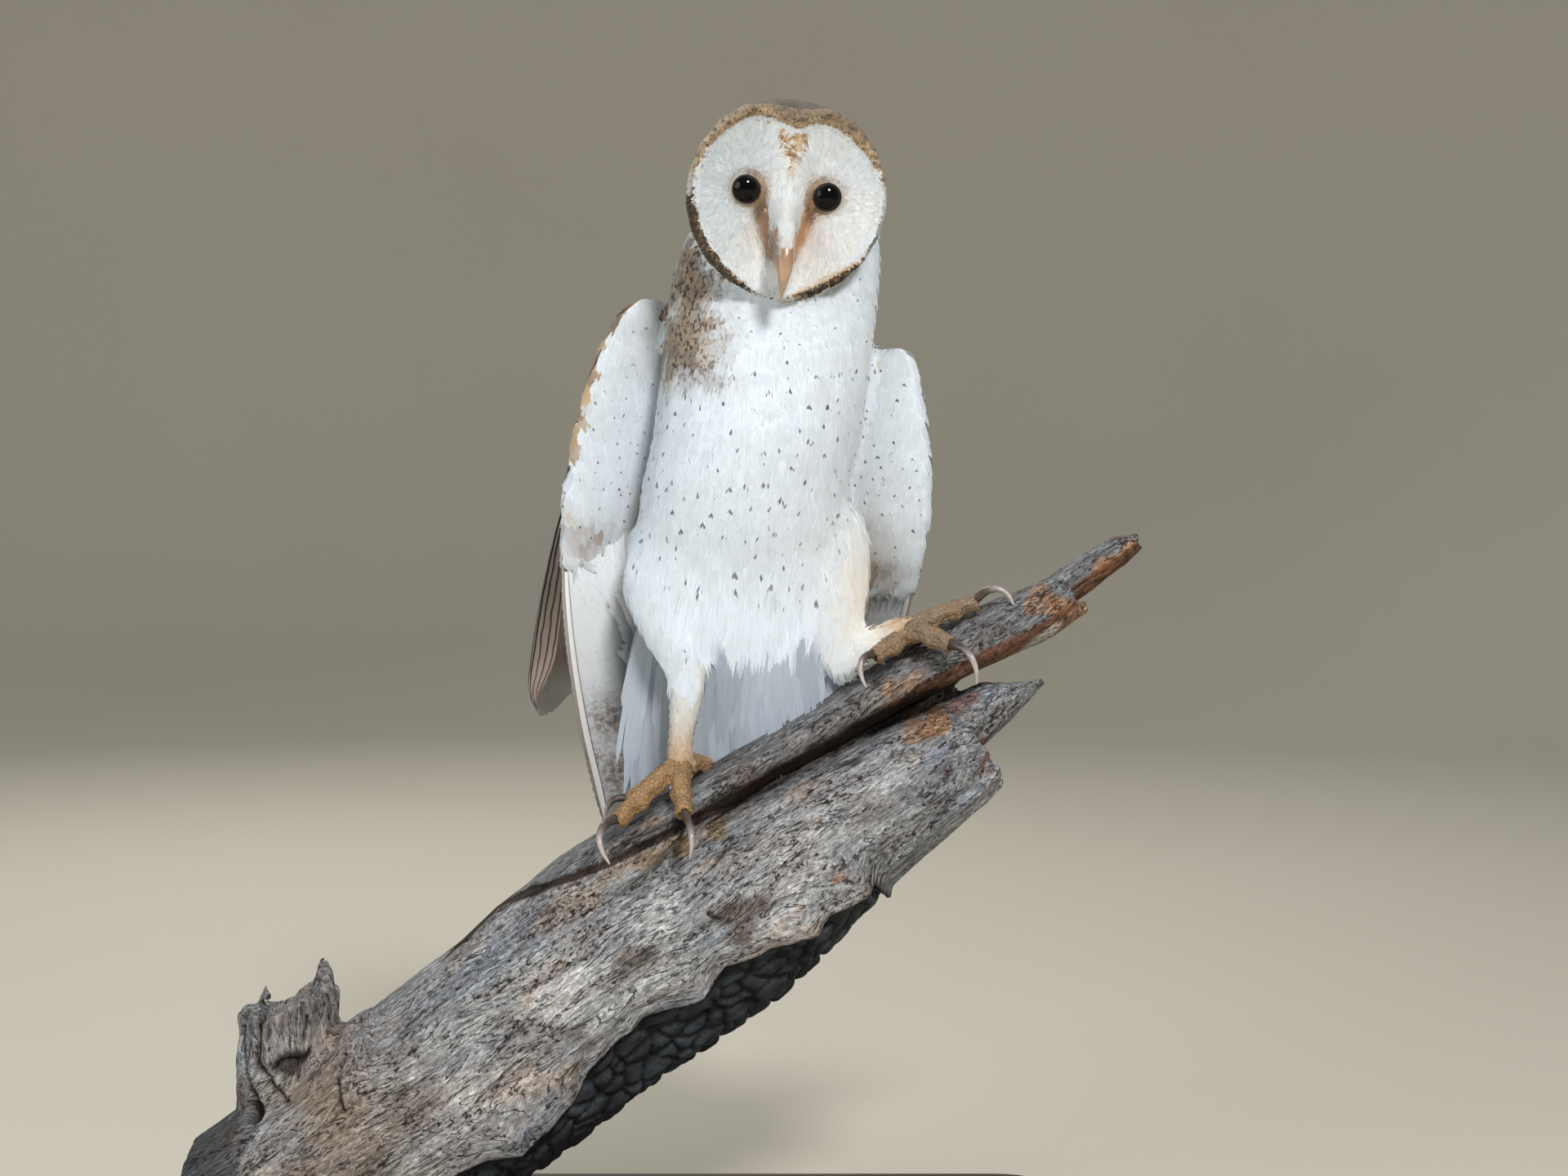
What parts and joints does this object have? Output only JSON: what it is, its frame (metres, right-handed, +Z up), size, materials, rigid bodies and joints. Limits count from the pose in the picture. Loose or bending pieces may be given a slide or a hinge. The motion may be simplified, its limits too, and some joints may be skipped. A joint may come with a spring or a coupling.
{
  "type": "mounted barn owl",
  "caption": "Life-size taxidermy barn owl, wings half open, standing on a leaning weathered log with a charred underside, on a flat display base.",
  "frame": {"origin": "centre of the base's underside", "axes": "+Z up, -Y the way the owl faces, +X the owl's left, towards which the log rises"},
  "size_m": [0.4441, 0.224, 0.5359],
  "materials": {
    "base_wood": "satin dark stain",
    "weathered_wood": "grey weathered grain",
    "charred_wood": "cracked char",
    "face_plumage": "soft hair-like feathers",
    "crown_plumage": "soft mottled feathers",
    "eye_glass": "polished",
    "bill_horn": "semi-gloss horn",
    "body_plumage": "soft white feathers with small dark spots",
    "wing_plumage": "soft white feathers with small dark spots",
    "flight_feathers": "stiff feather vanes",
    "toe_skin": "scaled skin",
    "claw_horn": "semi-gloss horn"
  },
  "bodies": {
    "root": {"stand_base": "base_wood", "log_trunk": "weathered_wood", "log_spar": "weathered_wood", "log_stub": "weathered_wood", "log_char": "charred_wood", "facial_disc": "face_plumage", "head": "crown_plumage", "eye_right": "eye_glass", "eye_left": "eye_glass", "bill_upper": "bill_horn", "bill_lower": "bill_horn", "neck": "body_plumage", "trunk": "body_plumage", "thigh_right": "body_plumage", "thigh_left": "body_plumage", "shank_right": "body_plumage", "shank_left": "body_plumage", "wing_right_hand": "wing_plumage", "wing_right_arm": "wing_plumage", "wing_left_hand": "wing_plumage", "wing_left_arm": "wing_plumage", "tail": "flight_feathers", "wing_right_primaries": "flight_feathers", "wing_right_secondaries": "flight_feathers", "wing_left_primaries": "flight_feathers", "wing_left_secondaries": "flight_feathers", "toe_hind_right": "toe_skin", "toe_inner_right": "toe_skin", "toe_middle_right": "toe_skin", "toe_outer_right": "toe_skin", "toe_hind_left": "toe_skin", "toe_inner_left": "toe_skin", "toe_middle_left": "toe_skin", "toe_outer_left": "toe_skin", "claw_hind_right": "claw_horn", "claw_inner_right": "claw_horn", "claw_middle_right": "claw_horn", "claw_outer_right": "claw_horn", "claw_hind_left": "claw_horn", "claw_inner_left": "claw_horn", "claw_middle_left": "claw_horn", "claw_outer_left": "claw_horn"}
  },
  "joints": []
}
